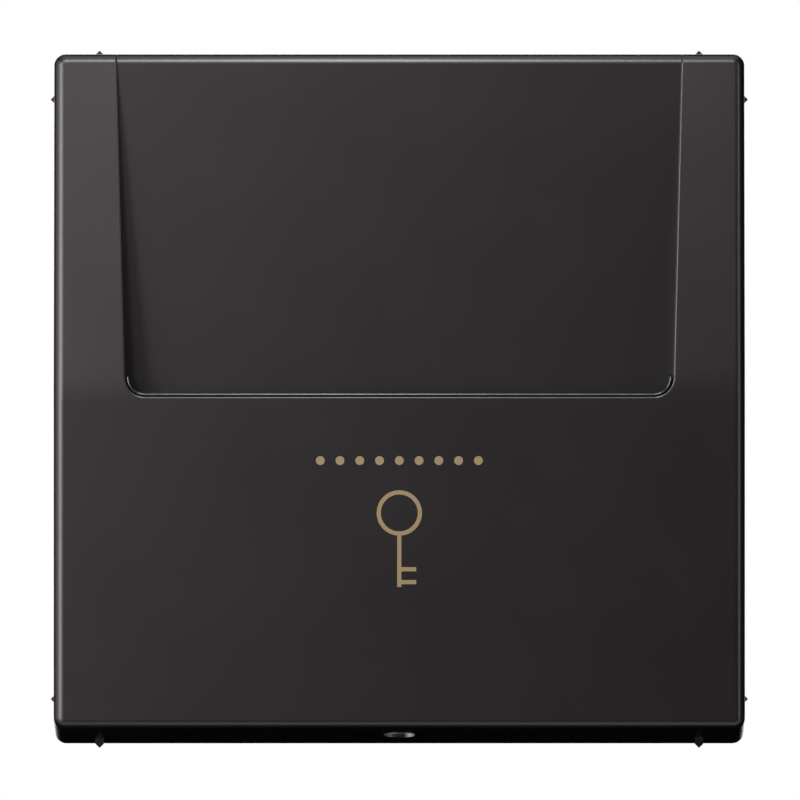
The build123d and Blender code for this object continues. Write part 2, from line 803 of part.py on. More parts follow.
def make_support_frame():
    front, back = frame_front - overrun, overrun
    opening = frame_opening
    frame = chamfered_square(frame_half, frame_corner_cut, frame_front, 0)
    frame -= block(-opening, opening, front, back, -opening, opening)
    for side in (-1, 1):
        frame -= slot_cut(side * box_screw_place, 0, True)
        frame -= slot_cut(0, side * box_screw_place, False)
        # Open notch for the claw screw.
        near, far = span(side, opening - overrun, claw_screw_x)
        radius = claw_screw_hole_radius
        frame -= block(near, far, front, back, -radius, radius)
        frame -= rod_y(radius, side * claw_screw_x, 0, front, back)
        frame += frame_lug(side)
        place = side * carrier_screw_place
        frame -= rod_y(carrier_screw[0] + pilot_fit, place, -place, front, back)
        # Spare holes in the two free corners and along the edges.
        place = side * frame_hole_place
        for x in (place, -place / 2):
            frame -= rod_y(frame_hole_radius, x, place, front, back)
    return frame


# Switch insert
def boss_places():
    return [(x * boss_place, z * boss_place) for x in (-1, 1) for z in (-1, 1)]


def housing_shell():
    housing = chamfered_square(socket_half, socket_chamfer, frame_front, socket_back)
    sides = [(side * socket_half, socket_back, 0) for side in (-1, 1)]
    ends = [(0, socket_back, side * socket_half) for side in (-1, 1)]
    housing = chamfer(edges_at(housing, *sides, *ends), edge_break)
    inner_cut = socket_chamfer - socket_wall * (2 - math.sqrt(2))
    return housing - chamfered_square(socket_inside, inner_cut, frame_front - overrun, socket_floor_y)


def terminal_chamber(side):
    # An inner wall and two cross walls, on which the contact strip lies, and a rib behind its leg.
    rest = strip_half_height
    wall_front = chamber_front + chamber_wall
    top = chamber_half_height + chamber_wall
    outer = socket_half - small_break
    near, far = span(side, chamber_inner_x, chamber_inner_x + chamber_wall)
    chamber = block(near, far, strip_back, socket_floor_y, -rest, rest)
    chamber += block(near, far, wall_front, socket_floor_y, -top, top)
    near, far = span(side, chamber_inner_x, outer)
    for end in (-1, 1):
        low, high = span(end, chamber_half_height, top)
        chamber += block(near, far, wall_front, socket_floor_y, low, high)
    near, far = span(side, strip_outer_x + strip_thickness + lug_fit / 2, outer)
    return chamber + block(near, far, strip_front, socket_floor_y, -rest, rest)


def terminal_openings(side):
    # Two wire entries and the release button's window.
    front, back = socket_floor_y - small_break, socket_back + overrun
    window_x, window_z = button_half_x + button_fit, button_half_z + button_fit
    near, far = span(side, button_x - window_x, button_x + window_x)
    openings = [block(near, far, front, back, -window_z, window_z)]
    for end in (-1, 1):
        openings.append(rod_y(wire_entry_radius, side * wire_entry_x, end * wire_entry_z, front, back))
    return openings


def claw_ear(side, end):
    # An ear with the claw's pivot hole.
    ear_low = claw_half_height + claw_side_gap
    ear_high = ear_low + claw_ear_thickness
    near, far = span(side, socket_half - small_break, claw_pivot_x + claw_ear_thickness)
    front, back = claw_pivot_y - claw_ear_thickness, claw_pivot_y + claw_ear_thickness * 2
    ear = block(near, far, front, back, *span(end, ear_low, ear_high))
    low, high = span(end, ear_low - overrun, ear_high + overrun)
    return ear - rod_z(trunnion_radius + trunnion_fit, side * claw_pivot_x, claw_pivot_y, low, high)


def snap_nose(side):
    # A nose that snaps into the window of the frame's lug.
    wide = lug_window_half - nose_fit
    front, back = lug_window_low + nose_fit, lug_window_high - nose_fit
    tip = side * (socket_half + nose_depth)
    near, far = sorted((side * (socket_half - small_break), tip))
    nose = block(-wide, wide, front, back, near, far)
    return chamfer(edges_at(nose, (0, front, tip)), nose_depth * nose_slope_share)


def make_socket_housing():
    housing = housing_shell()
    for x, z in boss_places():
        housing += rod_y(socket_boss_radius, x, z, frame_front, socket_floor_y)
        pilot_end = socket_cover_front + mechanism_screw[3] + pilot_spare
        housing -= rod_y(mechanism_screw[0] + pilot_fit, x, z, frame_front - overrun, pilot_end)
    # Tube that guides the plunger's spring.
    tube_radius = plunger_spring_radius + plunger_spring_wire
    tube_front = socket_floor_y - spring_tube_length
    housing += rod_y(tube_radius + spring_tube_wall, 0, 0, tube_front, socket_floor_y)
    housing -= rod_y(tube_radius, 0, 0, tube_front - overrun, socket_floor_y)
    for side in (-1, 1):
        housing += terminal_chamber(side)
        for opening in terminal_openings(side):
            housing -= opening
        for end in (-1, 1):
            housing += claw_ear(side, end)
        housing += snap_nose(side)
    # Post for the lamp holder.
    wide = lamp_radius + lamp_fit + lamp_holder_wall
    low, high = small_break - socket_half, lamp_z - lamp_radius
    return housing + block(-wide, wide, lamp_back, lamp_back + chamber_wall * 2, low, high)


def make_mechanism_cover():
    front, back = socket_cover_front - overrun, frame_front + overrun
    plate = chamfered_square(socket_half, socket_chamfer, socket_cover_front, frame_front)
    wide, tall = plunger_half_width + plunger_fit, plunger_half_height + plunger_fit
    plate -= block(-wide, wide, front, back, -tall, tall)
    plate -= rod_y(lamp_radius + hole_fit, 0, lamp_z, front, back)
    for x, z in boss_places():
        plate -= rod_y(mechanism_screw[0] + hole_fit, x, z, front, back)
    # Shallow recesses beside the plunger.
    depth = socket_cover_front + socket_cover_thickness * relief_depth_share
    reach = boss_place - boss_radius * 2
    for side in (-1, 1):
        near, far = span(side, plunger_half_width * 2, boss_place - boss_radius)
        plate -= block(near, far, front, depth, -reach, reach)
    return plate


def make_mechanism_screws():
    screws = [screw(mechanism_screw, x, z, socket_cover_front, 1) for x, z in boss_places()]
    return Compound(children=screws)


# Plunger and contacts
def make_push_plunger():
    # The head's slope lies on the slider's wedge.
    low_y = wedge_low_y + rest_gap
    high_y = low_y + slope * plunger_half_height * 2
    head = [
        (low_y, -plunger_half_height),
        (high_y, plunger_half_height),
        (flange_front, plunger_half_height),
        (flange_front, -plunger_half_height),
    ]
    plunger = prism_x(head, -plunger_half_width, plunger_half_width)
    wide, tall = plunger_half_width + flange_overlap, plunger_half_height + flange_overlap
    plunger += block(-wide, wide, flange_front, flange_front + flange_thickness, -tall, tall)
    wide, tall = stem_half_width, stem_half_height
    plunger += block(-wide, wide, flange_front, stem_end, -tall, tall)
    plunger += rod_y(stem_pin_radius, 0, 0, stem_end, stem_end + stem_pin_length)
    # Window through which the contact bridge passes.
    tall = bridge_half_height + bridge_fit
    back = bridge_back + rest_gap
    return plunger - block(-wide - overrun, wide + overrun, back - bridge_window_length, back, -tall, tall)


def make_contact_bridge():
    wide, tall = bridge_half_length, bridge_half_height
    bridge = block(-wide, wide, bridge_y, bridge_back, -tall, tall)
    middle = (bridge_y + bridge_back) / 2
    ends = [(x * wide, middle, z * tall) for x in (-1, 1) for z in (-1, 1)]
    return fillet(edges_at(bridge, *ends), bridge_half_height / 2)


def contact_dots(y_low, y_high, face_y, edge_radius):
    # Two round contacts whose touching faces have rounded rims.
    dots = []
    for side in (-1, 1):
        dot = rod_y(contact_radius, side * contact_place, 0, y_low, y_high)
        rim = edges_at(dot, (side * contact_place, face_y, contact_radius))
        dots.append(fillet(rim, edge_radius))
    return Compound(children=dots)


def make_bridge_contacts():
    face_y = bridge_back + contact_thickness
    return contact_dots(bridge_back, face_y, face_y, contact_edge)


def make_fixed_rivets():
    return contact_dots(rivet_front, strip_front, rivet_front, fixed_rivet_edge)


def make_overtravel_spring():
    front = bridge_back + rest_gap - bridge_window_length
    return spring_y(overtravel_radius, overtravel_wire, overtravel_turns, 0, 0, front, bridge_y)


def make_plunger_spring():
    turns = plunger_spring_turns
    return spring_y(plunger_spring_radius, plunger_spring_wire, turns, 0, 0, stem_end, socket_floor_y)


# Terminals
def make_fixed_contact():
    outer = strip_outer_x + strip_thickness
    leg = strip_leg_half_height
    strip = block(strip_inner_x, outer, strip_front, strip_back, -strip_half_height, strip_half_height)
    return strip + block(strip_outer_x, outer, strip_front, strip_front + strip_leg_length, -leg, leg)


def make_clamp_spring():
    # A bent leaf: a foot along the inner wall, a loop at the rear and a leg that leans on the strip.
    inner = clamp_inner_x + clamp_thickness
    far = clamp_inner_x + clamp_width
    near = far - clamp_thickness
    loop = clamp_width / 2
    middle = clamp_inner_x + loop
    bend = clamp_bend_y
    tip_x = strip_outer_x - rest_gap
    tip_y = bend - clamp_reach
    foot_y = bend - clamp_foot_length
    loop_top = (middle, bend + loop, 0)
    loop_inside = (middle, bend + loop - clamp_thickness, 0)
    outline = Line((clamp_inner_x, foot_y, 0), (clamp_inner_x, bend, 0))
    outline += ThreePointArc((clamp_inner_x, bend, 0), loop_top, (far, bend, 0))
    leg = [(far, bend, 0), (tip_x, tip_y, 0), (tip_x - clamp_thickness, tip_y, 0), (near, bend, 0)]
    outline += Polyline(*leg)
    outline += ThreePointArc((near, bend, 0), loop_inside, (inner, bend, 0))
    outline += Polyline((inner, bend, 0), (inner, foot_y, 0), (clamp_inner_x, foot_y, 0))
    leaf = extrude(make_face(outline), amount=clamp_half_height * 2, dir=(0, 0, 1))
    return Pos(0, 0, -clamp_half_height) * leaf


def make_release_button():
    back = socket_back + button_proud
    front = back - button_length
    low_x, high_x = button_x - button_half_x, button_x + button_half_x
    tall = button_half_z
    button = block(low_x, high_x, front, back, -tall, tall)
    flange_back = socket_floor_y - rest_gap
    flange_front_y = flange_back - button_flange_thickness
    flange_tall = tall + button_flange
    button += block(low_x, high_x, flange_front_y, flange_back, -flange_tall, flange_tall)
    # The nose reaches the clamp spring's leg.
    nose_front = clamp_bend_y - button_nose_gap
    nose_low = clamp_inner_x + clamp_width + button_nose_gap
    button += block(nose_low, high_x, nose_front, front, -tall, tall)
    # Slot for the screwdriver's tip.
    slot = button_slot_half
    slot_front = back - button_slot_depth
    return button - block(low_x + slot, high_x - slot, slot_front, back + overrun, -slot, slot)


# Spreading claws
def make_claw():
    front = claw_pivot_y - trunnion_radius
    back = claw_pivot_y + claw_length
    near, far = claw_pivot_x - claw_thickness / 2, claw_pivot_x + claw_thickness / 2
    tall = claw_half_height
    tip = far + claw_foot
    foot_front = back - claw_thickness
    claw = block(near, far, front, back, -tall, tall)
    claw += block(near, tip, foot_front, back, -tall, tall)
    # Slot in which the screw stands.
    slot = claw_slot_half
    slot_front, slot_back = claw_pivot_y + claw_slot_start, back - claw_bridge
    claw -= block(near - overrun, far + overrun, slot_front, slot_back, -slot, slot)
    # Teeth along the foot's edge.
    step = tall * 2 / claw_teeth
    for tooth in range(claw_teeth):
        low = step * tooth - tall
        notch = [(tip - claw_tooth, low + step / 2), (tip + overrun, low), (tip + overrun, low + step)]
        claw -= prism_y(notch, foot_front - overrun, back + overrun)
    for end in (-1, 1):
        low, high = span(end, tall - trunnion_length, tall + claw_side_gap + trunnion_length)
        claw += rod_z(trunnion_radius, claw_pivot_x, claw_pivot_y, low, high)
    return claw


def make_claw_screw():
    length = claw_screw_end_y - frame_front
    size = (claw_screw_radius, claw_screw_head_radius, claw_screw_head_height, length)
    return screw(size, claw_screw_x, 0, frame_front, 1)


# Locating lamp
def make_glow_lamp():
    bulb = rod_y(lamp_radius, 0, lamp_z, lamp_front, lamp_back)
    return fillet(edges_at(bulb, (0, lamp_front, lamp_z + lamp_radius)), lamp_tip_radius)


def make_lamp_holder():
    hole = lamp_radius + lamp_fit
    outer = hole + lamp_holder_wall
    front = lamp_back - lamp_holder_depth
    holder = block(-outer, outer, front, lamp_back, lamp_z - outer, lamp_z + outer)
    return holder - rod_y(hole, 0, lamp_z, front - overrun, lamp_back + overrun)


def make_lamp_contacts():
    # Two wires from the lamp's back to the front of the contact strips.
    run_y = lamp_back + chamber_wall * 2 + lamp_wire_radius + rest_gap
    wire_z = lamp_z + lamp_wire_place
    strip_z = -strip_half_height / 2
    end_x = chamber_inner_x + chamber_wall
    wires = []
    for side in (-1, 1):
        points = [
            (side * lamp_wire_place, lamp_back, wire_z),
            (side * lamp_wire_place, run_y, wire_z),
            (side * end_x, run_y, wire_z),
            (side * end_x, run_y, strip_z),
            (side * end_x, strip_front, strip_z),
        ]
        path = FilletPolyline(*points, radius=lamp_wire_bend_radius)
        ring = Plane(origin=points[0], z_dir=(0, 1, 0)) * Circle(lamp_wire_radius)
        wires.append(sweep(ring, path=path))
    return Compound(children=wires)


def build():
    fixed_contact = make_fixed_contact()
    clamp_spring = make_clamp_spring()
    release_button = make_release_button()
    claw = make_claw()
    claw_screw = make_claw_screw()
    return {
        "front_cover": make_front_cover(),
        "card_guide": make_card_guide(),
        "guide_screws": make_guide_screws(),
        "card_slider": make_card_slider(),
        "slider_springs": make_slider_springs(),
        "card_grip_springs": make_card_grip_springs(),
        "light_pipe": make_light_pipe(),
        "mounting_carrier": make_mounting_carrier(),
        "carrier_screws": make_carrier_screws(),
        "support_frame": make_support_frame(),
        "socket_housing": make_socket_housing(),
        "mechanism_cover": make_mechanism_cover(),
        "mechanism_screws": make_mechanism_screws(),
        "push_plunger": make_push_plunger(),
        "contact_bridge": make_contact_bridge(),
        "bridge_contacts": make_bridge_contacts(),
        "overtravel_spring": make_overtravel_spring(),
        "plunger_spring": make_plunger_spring(),
        "fixed_contact_left": mirrored(fixed_contact),
        "fixed_contact_right": fixed_contact,
        "fixed_rivets": make_fixed_rivets(),
        "clamp_spring_left": mirrored(clamp_spring),
        "clamp_spring_right": clamp_spring,
        "release_button_left": mirrored(release_button),
        "release_button_right": release_button,
        "claw_left": mirrored(claw),
        "claw_right": claw,
        "claw_screw_left": mirrored(claw_screw),
        "claw_screw_right": claw_screw,
        "glow_lamp": make_glow_lamp(),
        "lamp_holder": make_lamp_holder(),
        "lamp_contacts": make_lamp_contacts(),
    }


os.makedirs("parts", exist_ok=True)
for node, shape in build().items():
    export_step(shape, f"parts/{node}.step")
    print(node, "solids", len(shape.solids()), "volume", round(shape.volume, 2))
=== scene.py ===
import json
import math

import bpy
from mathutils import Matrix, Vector


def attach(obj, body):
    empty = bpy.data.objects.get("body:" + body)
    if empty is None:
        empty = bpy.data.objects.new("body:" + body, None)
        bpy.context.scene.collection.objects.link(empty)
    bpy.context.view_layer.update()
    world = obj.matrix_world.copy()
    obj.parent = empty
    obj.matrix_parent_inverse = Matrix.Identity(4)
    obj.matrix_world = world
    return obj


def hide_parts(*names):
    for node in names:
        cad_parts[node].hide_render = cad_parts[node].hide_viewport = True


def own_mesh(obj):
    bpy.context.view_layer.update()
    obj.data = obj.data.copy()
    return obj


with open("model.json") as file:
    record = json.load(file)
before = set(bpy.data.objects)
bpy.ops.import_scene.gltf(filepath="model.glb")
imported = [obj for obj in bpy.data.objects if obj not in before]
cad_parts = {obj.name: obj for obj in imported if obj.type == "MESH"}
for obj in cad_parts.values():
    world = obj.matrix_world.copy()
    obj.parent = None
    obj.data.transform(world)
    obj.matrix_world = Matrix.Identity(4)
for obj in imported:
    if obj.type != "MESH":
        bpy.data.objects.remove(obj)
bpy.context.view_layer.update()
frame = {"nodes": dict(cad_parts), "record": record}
nodes = frame["nodes"]
print("frame loaded:", len(nodes), "nodes")

# X is to the right, Y goes into the wall and Z is up, in metres, with the wall at y = 0
mm = 0.001


# Node helpers
def newMaterial(name):
    material = bpy.data.materials.new(name)
    material.use_nodes = True
    return material, material.node_tree.nodes["Principled BSDF"]


def addNode(material, kind, **values):
    node = material.node_tree.nodes.new(kind)
    for key, value in values.items():
        setattr(node, key, value)
    return node


def join(material, start, end):
    material.node_tree.links.new(start, end)


def setInputs(node, **values):
    for key, value in values.items():
        node.inputs[key.replace("_", " ")].default_value = value


def grey(level):
    return (level, level, level, 1)


def scaled(colour, factor, lift=0.0):
    return tuple(min(1, level * factor + lift) for level in colour[:3]) + (1,)


def objectPlace(material, stretch=(1, 1, 1)):
    coordinates = addNode(material, "ShaderNodeTexCoord")
    mapping = addNode(material, "ShaderNodeMapping")
    mapping.inputs["Scale"].default_value = stretch
    join(material, coordinates.outputs["Object"], mapping.inputs["Vector"])
    return mapping.outputs["Vector"]


def noise(material, place, size, detail, roughness=0.5):
    # size is the width of one grain in metres
    texture = addNode(material, "ShaderNodeTexNoise")
    setInputs(texture, Scale=1 / size, Detail=detail, Roughness=roughness)
    join(material, place, texture.inputs["Vector"])
    return texture.outputs["Fac"]


def spread(material, value, low, high, fromLow=0.3, fromHigh=0.7):
    # most of a noise lies between 0.3 and 0.7
    ramp = addNode(material, "ShaderNodeMapRange")
    ramp.inputs["From Min"].default_value = fromLow
    ramp.inputs["From Max"].default_value = fromHigh
    ramp.inputs["To Min"].default_value = low
    ramp.inputs["To Max"].default_value = high
    join(material, value, ramp.inputs["Value"])
    return ramp.outputs["Result"]


def blendColours(material, factor, first, second):
    mix = addNode(material, "ShaderNodeMix", data_type="RGBA")
    mix.inputs["A"].default_value = first
    mix.inputs["B"].default_value = second
    join(material, factor, mix.inputs["Factor"])
    return mix.outputs["Result"]


def addBump(material, shader, height, distance):
    bump = addNode(material, "ShaderNodeBump")
    setInputs(bump, Strength=1.0, Distance=distance)
    join(material, height, bump.inputs["Height"])
    join(material, bump.outputs["Normal"], shader.inputs["Normal"])
    return bump


def edgeMask(material, radius, reach):
    # bright where the surface turns within the radius, for worn and rubbed edges
    rounded = addNode(material, "ShaderNodeBevel", samples=4)
    rounded.inputs["Radius"].default_value = radius
    surface = addNode(material, "ShaderNodeNewGeometry")
    dot = addNode(material, "ShaderNodeVectorMath", operation="DOT_PRODUCT")
    join(material, rounded.outputs["Normal"], dot.inputs[0])
    join(material, surface.outputs["True Normal"], dot.inputs[1])
    return spread(material, dot.outputs["Value"], 1, 0, reach, 1)


def wearEdges(material, body, worn, wear):
    # the body's colour, with the worn colour along the edges
    mix = addNode(material, "ShaderNodeMix", data_type="RGBA")
    mix.inputs["B"].default_value = worn
    join(material, edgeMask(material, wear["edge"], wear["edgeReach"]), mix.inputs["Factor"])
    join(material, body, mix.inputs["A"])
    return mix.outputs["Result"]


# Edit mode helper
def selectPoints(piece, wanted):
    bpy.ops.mesh.select_mode(type="VERT")
    bpy.ops.mesh.select_all(action="DESELECT")
    bpy.ops.object.mode_set(mode="OBJECT")
    for point in piece.data.vertices:
        point.select = wanted(point.co)
    bpy.ops.object.mode_set(mode="EDIT")


# Lacquered black cover
coverLook = {
    "colour": 0.0025,
    "sheen": (1.0, 0.8, 0.865, 1),  # warm tone under the clear lacquer
    "roughness": (0.42, 0.46),
    "coat": 1.0,  # the lacquer over the moulding
    "coatRoughness": 0.3,
    "patch": 9 * mm,  # soft patches in the gloss
    "patchDetail": 3,
    "grain": 0.11 * mm,
    "grainDetail": 2,
    "grainHeight": 0.0012 * mm,
    "wave": 6 * mm,  # slow waves of the moulding
    "waveDetail": 1,
    "waveHeight": 0.0012 * mm,
}


def coverMaterial(look):
    material, shader = newMaterial("coverLacquer")
    setInputs(shader, Base_Color=grey(look["colour"]), Specular_Tint=look["sheen"])
    setInputs(shader, Coat_Weight=look["coat"], Coat_Roughness=look["coatRoughness"])
    place = objectPlace(material)
    patches = noise(material, place, look["patch"], look["patchDetail"])
    join(material, spread(material, patches, *look["roughness"]), shader.inputs["Roughness"])
    fine = noise(material, place, look["grain"], look["grainDetail"])
    bump = addBump(material, shader, fine, look["grainHeight"])
    slow = noise(material, place, look["wave"], look["waveDetail"])
    waves = addNode(material, "ShaderNodeBump")
    setInputs(waves, Strength=1.0, Distance=look["waveHeight"])
    join(material, slow, waves.inputs["Height"])
    join(material, waves.outputs["Normal"], bump.inputs["Normal"])
    return material


# Moulded plastics, one look for each colour
plasticLooks = {
    "blackPlastic": {
        "colour": (0.003, 0.003, 0.003, 1),
        "roughness": (0.42, 0.5),
        "grain": 0.14 * mm,
        "height": 0.0018 * mm,
    },
    "naturalPlastic": {
        "colour": (0.62, 0.59, 0.52, 1),
        "roughness": (0.38, 0.48),
        "grain": 0.16 * mm,
        "height": 0.002 * mm,
    },
    "greyPlastic": {
        "colour": (0.11, 0.115, 0.12, 1),
        "roughness": (0.45, 0.55),
        "grain": 0.2 * mm,
        "height": 0.004 * mm,
    },
    "palePlastic": {
        "colour": (0.66, 0.65, 0.61, 1),
        "roughness": (0.42, 0.52),
        "grain": 0.2 * mm,
        "height": 0.004 * mm,
    },
    "redPlastic": {
        "colour": (0.42, 0.035, 0.03, 1),
        "roughness": (0.34, 0.44),
        "grain": 0.15 * mm,
        "height": 0.002 * mm,
    },
    "orangePlastic": {
        "colour": (0.72, 0.2, 0.035, 1),
        "roughness": (0.34, 0.44),
        "grain": 0.15 * mm,
        "height": 0.002 * mm,
    },
}


# What all the plastics share: soft clouds in the colour, and paler edges
plasticWear = {
    "cloud": 5 * mm,
    "cloudDetail": 3,
    "grainDetail": 2,
    "dark": 0.95,
    "pale": 1.04,
    "worn": 1.2,
    "wornLift": 0.004,
    "edge": 0.15 * mm,
    "edgeReach": 0.5,
}


def plasticMaterial(name, look, wear):
    material, shader = newMaterial(name)
    place = objectPlace(material)
    cloudy = noise(material, place, wear["cloud"], wear["cloudDetail"])
    dark = scaled(look["colour"], wear["dark"])
    pale = scaled(look["colour"], wear["pale"])
    worn = scaled(look["colour"], wear["worn"], wear["wornLift"])
    body = blendColours(material, spread(material, cloudy, 0, 1), dark, pale)
    join(material, wearEdges(material, body, worn, wear), shader.inputs["Base Color"])
    join(material, spread(material, cloudy, *look["roughness"]), shader.inputs["Roughness"])
    grain = noise(material, place, look["grain"], wear["grainDetail"])
    addBump(material, shader, grain, look["height"])
    return material


# Metals, one look for each finish
metalLooks = {
    "zincSteel": {
        "colour": (0.56, 0.57, 0.58, 1),
        "stain": (0.5, 0.51, 0.53, 1),
        "roughness": (0.34, 0.4),
        "stretch": (1, 1, 1),
        "grain": 0.35 * mm,
        "height": 0.002 * mm,
    },
    "springSteel": {
        "colour": (0.55, 0.54, 0.52, 1),
        "stain": (0.38, 0.37, 0.35, 1),
        "roughness": (0.22, 0.34),
        "stretch": (1, 1, 6),
        "grain": 0.3 * mm,
        "height": 0.001 * mm,
    },
    "screwSteel": {
        "colour": (0.6, 0.6, 0.58, 1),
        "stain": (0.45, 0.44, 0.4, 1),
        "roughness": (0.24, 0.36),
        "stretch": (1, 1, 1),
        "grain": 0.25 * mm,
        "height": 0.002 * mm,
    },
    "contactBrass": {
        "colour": (0.72, 0.52, 0.24, 1),
        "stain": (0.52, 0.34, 0.15, 1),
        "roughness": (0.26, 0.4),
        "stretch": (4, 1, 1),
        "grain": 0.3 * mm,
        "height": 0.0015 * mm,
    },
    "contactSilver": {
        "colour": (0.8, 0.79, 0.76, 1),
        "stain": (0.6, 0.58, 0.55, 1),
        "roughness": (0.2, 0.32),
        "stretch": (1, 1, 1),
        "grain": 0.2 * mm,
        "height": 0.001 * mm,
    },
}


# What all the metals share: stains, and edges that are rubbed bright
metalWear = {
    "stain": 3 * mm,
    "stainDetail": 4,
    "stainRoughness": 0.6,
    "grainDetail": 3,
    "bright": 1.25,
    "edge": 0.12 * mm,
    "edgeReach": 0.5,
}


def metalMaterial(name, look, wear):
    material, shader = newMaterial(name)
    setInputs(shader, Metallic=1.0)
    place = objectPlace(material, look["stretch"])
    stains = noise(material, place, wear["stain"], wear["stainDetail"], wear["stainRoughness"])
    body = blendColours(material, spread(material, stains, 0, 1), look["colour"], look["stain"])
    bright = scaled(look["colour"], wear["bright"])
    join(material, wearEdges(material, body, bright, wear), shader.inputs["Base Color"])
    join(material, spread(material, stains, *look["roughness"]), shader.inputs["Roughness"])
    grain = noise(material, place, look["grain"], wear["grainDetail"])
    addBump(material, shader, grain, look["height"])
    return material


# Clear pieces
clearLooks = {
    "clearPlastic": {
        "colour": (0.3, 0.31, 0.31, 1),
        "cloud": (0.08, 0.083, 0.083, 1),
        "clear": 0.35,
        "roughness": (0.12, 0.3),
        "ior": 1.49,
        "grain": 1.1 * mm,
        "grainDetail": 2,
        "height": 0.02 * mm,
    },
    "lampGlass": {
        "colour": (0.95, 0.8, 0.62, 1),
        "cloud": (0.9, 0.72, 0.5, 1),
        "clear": 1.0,
        "roughness": (0.05, 0.12),
        "ior": 1.46,
        "grain": 0.8 * mm,
        "grainDetail": 2,
        "height": 0.003 * mm,
    },
}


def clearMaterial(name, look):
    material, shader = newMaterial(name)
    setInputs(shader, IOR=look["ior"], Transmission_Weight=look["clear"])
    place = objectPlace(material)
    ripple = noise(material, place, look["grain"], look["grainDetail"])
    colour = blendColours(material, spread(material, ripple, 0, 1), look["cloud"], look["colour"])
    join(material, colour, shader.inputs["Base Color"])
    join(material, spread(material, ripple, *look["roughness"]), shader.inputs["Roughness"])
    addBump(material, shader, ripple, look["height"])
    return material


# Painted highlights: two soft glowing bands on the clear light pipe stand in for the lens's two
# highlights, a dim one to the left and a bright one to the right
lensHighlightGlow = {
    # middle, reach to each side, and strength
    "bands": ((-0.94 * mm, 0.42 * mm, 0.06), (1.08 * mm, 0.56 * mm, 0.32)),
    "colour": (1, 1, 1, 1),
}


def addLensHighlightGlow(material, look):
    shader = material.node_tree.nodes["Principled BSDF"]
    axes = addNode(material, "ShaderNodeSeparateXYZ")
    join(material, objectPlace(material), axes.inputs["Vector"])
    total = None
    for middle, reach, strength in look["bands"]:
        rise = spread(material, axes.outputs["X"], 0, strength, middle - reach, middle)
        fall = spread(material, axes.outputs["X"], 0, strength, middle + reach, middle)
        band = addNode(material, "ShaderNodeMath", operation="MINIMUM")
        join(material, rise, band.inputs[0])
        join(material, fall, band.inputs[1])
        if total:
            both = addNode(material, "ShaderNodeMath", operation="MAXIMUM")
            join(material, total, both.inputs[0])
            join(material, band.outputs["Value"], both.inputs[1])
            band = both
        total = band.outputs["Value"]
    # the bands are emitted as light, a painted highlight on the lens and not a lamp
    join(material, total, shader.inputs["Emission Strength"])
    setInputs(shader, Emission_Color=look["colour"])


finishes = {"coverLacquer": coverMaterial(coverLook)}
for name, look in plasticLooks.items():
    finishes[name] = plasticMaterial(name, look, plasticWear)
for name, look in metalLooks.items():
    finishes[name] = metalMaterial(name, look, metalWear)
for name, look in clearLooks.items():
    finishes[name] = clearMaterial(name, look)
# the clear plastic glows in two bands, as painted highlights
addLensHighlightGlow(finishes["clearPlastic"], lensHighlightGlow)

finishOfSlot = {
    "cover_lacquer": "coverLacquer",
    "black_plastic": "blackPlastic",
    "natural_plastic": "naturalPlastic",
    "grey_plastic": "greyPlastic",
    "pale_plastic": "palePlastic",
    "red_plastic": "redPlastic",
    "orange_plastic": "orangePlastic",
    "clear_plastic": "clearPlastic",
    "lamp_glass": "lampGlass",
    "zinc_steel": "zincSteel",
    "spring_steel": "springSteel",
    "screw_steel": "screwSteel",
    "contact_brass": "contactBrass",
    "contact_silver": "contactSilver",
}
for subpart in frame["record"]["subparts"]:
    mesh = nodes[subpart["node"]].data
    mesh.materials.clear()
    mesh.materials.append(finishes[finishOfSlot[subpart["material_slot"]]])


# Coil and leaf springs, each a copy of its node's mesh on the insert; each entry lists node,
# joint, axis, fixed end and travel
springLooks = {
    "sliderCoils": {
        "node": "slider_springs",
        "joint": "slider_travel",
        "axis": (0, 0, 1),
        "fixedEnd": "low",
        "travel": 4 * mm,
    },
    "plungerCoil": {
        "node": "plunger_spring",
        "joint": "plunger_travel",
        "axis": (0, 1, 0),
        "fixedEnd": "high",
        "travel": 1.4 * mm,
    },
    "clampLeafLeft": {
        "node": "clamp_spring_left",
        "joint": "release_left_travel",
        "axis": (0, 1, 0),
        "fixedEnd": "low",
        "travel": 1.5 * mm,
    },
    "clampLeafRight": {
        "node": "clamp_spring_right",
        "joint": "release_right_travel",
        "axis": (0, 1, 0),
        "fixedEnd": "low",
        "travel": 1.5 * mm,
    },
}


def makeSpring(name, look):
    node = nodes[look["node"]]
    piece = bpy.data.objects.new(name, node.data.copy())
    bpy.context.scene.collection.objects.link(piece)
    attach(piece, "insert")
    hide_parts(look["node"])
    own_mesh(piece)


for name, look in springLooks.items():
    makeSpring(name, look)


# Thin collar of the card guide, which shows as a bright line inside the mouth
collarLook = {
    "colour": (0.004, 0.004, 0.004, 1),
    "roughness": (0.25, 0.27),
    "specular": 1.0,
    "coat": 1.0,
    "coatRoughness": 0.18,
    "grain": 0.3 * mm,
    "grainDetail": 2,
    "grainHeight": 0.0001 * mm,
    "half": 27.46 * mm,  # middle of the collar at the sides
    "low": 0.47 * mm,
    "round": 1.72 * mm,
    "roundSteps": 12,
    "sides": 1.06,  # height of the sides, as a share of the corner's round
    "thickness": 0.23 * mm,
    "beadSteps": 4,
    "wall": 0.12 * mm,
    "front": -13.84 * mm,
    "back": -12.0 * mm,  # in the guide's front wall
    "near": 0.05 * mm,  # how near a point is to a level that it is picked by
    "smooth": math.radians(40),
}


def collarMaterial(look):
    material, shader = newMaterial("collarPlastic")
    setInputs(shader, Base_Color=look["colour"], Specular_IOR_Level=look["specular"])
    setInputs(shader, Coat_Weight=look["coat"], Coat_Roughness=look["coatRoughness"])
    fine = noise(material, objectPlace(material), look["grain"], look["grainDetail"])
    join(material, spread(material, fine, *look["roughness"]), shader.inputs["Roughness"])
    addBump(material, shader, fine, look["grainHeight"])
    return material


